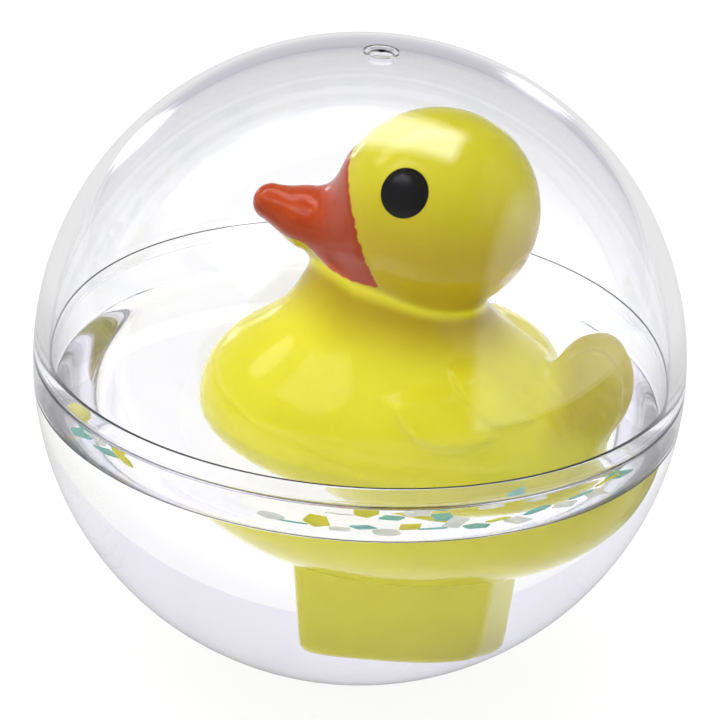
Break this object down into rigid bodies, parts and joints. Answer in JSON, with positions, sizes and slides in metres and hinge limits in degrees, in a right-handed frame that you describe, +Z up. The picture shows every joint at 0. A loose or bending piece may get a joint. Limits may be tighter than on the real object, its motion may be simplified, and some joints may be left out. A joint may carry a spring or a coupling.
{
  "type": "duck bath ball toy",
  "caption": "Clear plastic bath ball, half full of water, with a yellow toy duck floating upright on a weighted keel among small coloured flakes.",
  "frame": {"origin": "centre of the ball", "axes": "+Z up out of the water, through the fill plug; the duck looks towards -X, turned a little towards +Y"},
  "size_m": [0.075, 0.075, 0.075],
  "materials": {
    "clear_plastic": "gloss",
    "yellow_vinyl": "gloss",
    "water": "gloss",
    "steel": "satin",
    "white_flake": "satin",
    "blue_flake": "satin",
    "yellow_flake": "satin"
  },
  "bodies": {
    "root": {"lower_shell": "clear_plastic", "upper_shell": "clear_plastic", "fill_plug": "clear_plastic", "duck_body": "yellow_vinyl", "keel": "yellow_vinyl", "ballast_weight": "steel", "water": "water", "flake_01": "white_flake", "flake_02": "blue_flake", "flake_03": "yellow_flake", "flake_04": "white_flake", "flake_05": "blue_flake", "flake_06": "white_flake", "flake_07": "yellow_flake", "flake_08": "blue_flake", "flake_09": "white_flake", "flake_10": "blue_flake", "flake_11": "yellow_flake", "flake_12": "white_flake", "flake_13": "blue_flake", "flake_14": "white_flake", "flake_15": "yellow_flake", "flake_16": "blue_flake", "flake_17": "white_flake", "flake_18": "blue_flake", "flake_19": "yellow_flake", "flake_20": "white_flake", "flake_21": "blue_flake", "flake_22": "white_flake", "flake_23": "yellow_flake", "flake_24": "blue_flake", "flake_25": "white_flake", "flake_26": "blue_flake", "flake_27": "yellow_flake", "flake_28": "white_flake", "flake_29": "blue_flake", "flake_30": "white_flake", "flake_31": "yellow_flake", "flake_32": "blue_flake", "flake_33": "white_flake"}
  },
  "joints": []
}
